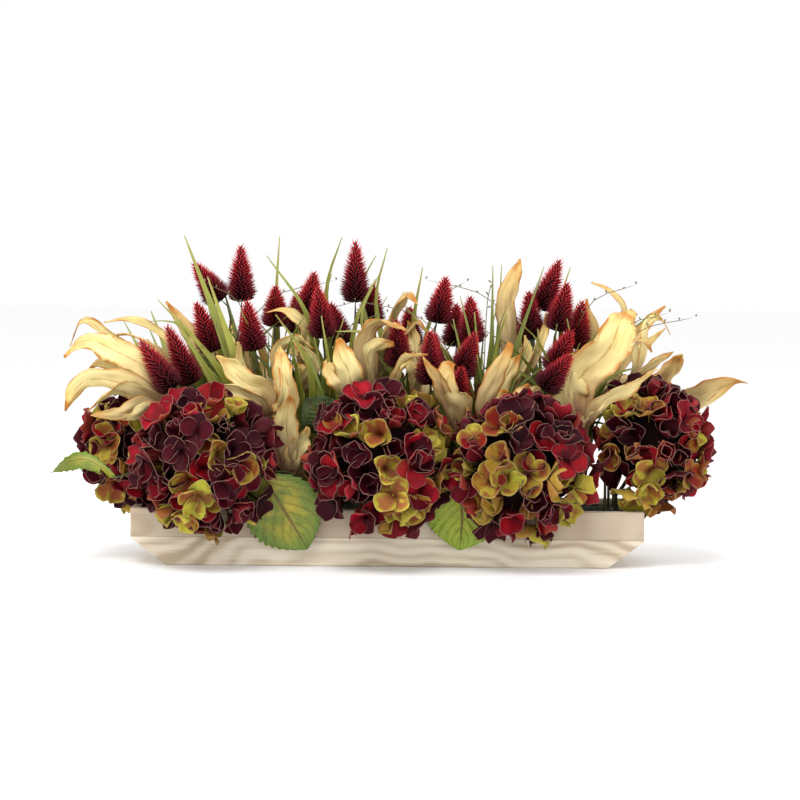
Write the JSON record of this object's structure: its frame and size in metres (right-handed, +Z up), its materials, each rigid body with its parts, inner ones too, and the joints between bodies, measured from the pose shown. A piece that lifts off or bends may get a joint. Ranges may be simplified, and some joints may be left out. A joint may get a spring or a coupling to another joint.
{
  "type": "floral table centerpiece",
  "caption": "Long autumn flower centerpiece: hydrangea heads, foxtail grass, curled husk leaves and green leaves in a low pale wooden box with cut lower corners.",
  "frame": {"origin": "middle of the wooden box's underside, which rests on the table", "axes": "+X along the box to the right, +Y to the back, +Z up; the front of the arrangement faces -Y"},
  "size_m": [0.7511, 0.3087, 0.3534],
  "materials": {
    "wood": "matte, pale and unvarnished",
    "foam": "matte, dark moss over foam",
    "hydrangea": "soft, dark red petals with pale rims",
    "foxtail": "bristly, dark red",
    "husk": "papery, cream to tan with burnt orange edges",
    "grass": "satin green",
    "leaf": "matte yellow-green"
  },
  "bodies": {
    "root": {"box_front": "wood", "box_back": "wood", "box_bottom": "wood", "box_left_end": "wood", "box_right_end": "wood", "box_left_slant": "wood", "box_right_slant": "wood", "foam": "foam", "hydrangea_1": "hydrangea", "hydrangea_2": "hydrangea", "hydrangea_3": "hydrangea", "hydrangea_4": "hydrangea", "hydrangea_5": "hydrangea", "hydrangea_6": "hydrangea", "hydrangea_7": "hydrangea", "hydrangea_8": "hydrangea", "foxtails_1": "foxtail", "foxtails_2": "foxtail", "foxtails_3": "foxtail", "foxtails_4": "foxtail", "foxtails_5": "foxtail", "foxtails_6": "foxtail", "foxtails_7": "foxtail", "foxtails_8": "foxtail", "foxtails_9": "foxtail", "foxtails_10": "foxtail", "husks_1": "husk", "husks_2": "husk", "husks_3": "husk", "husks_4": "husk", "husks_5": "husk", "husks_6": "husk", "husks_7": "husk", "husks_8": "husk", "husks_9": "husk", "husks_10": "husk", "husks_11": "husk", "husks_12": "husk", "husks_13": "husk", "husks_14": "husk", "husks_15": "husk", "husks_16": "husk", "husks_17": "husk", "husks_18": "husk", "husks_19": "husk", "grass_1": "grass", "grass_2": "grass", "grass_3": "grass", "grass_4": "grass", "grass_5": "grass", "grass_6": "grass", "grass_7": "grass", "grass_8": "grass", "leaf_1": "leaf", "leaf_2": "leaf", "leaf_3": "leaf", "leaf_4": "leaf", "leaf_5": "leaf", "leaf_6": "leaf"}
  },
  "joints": []
}
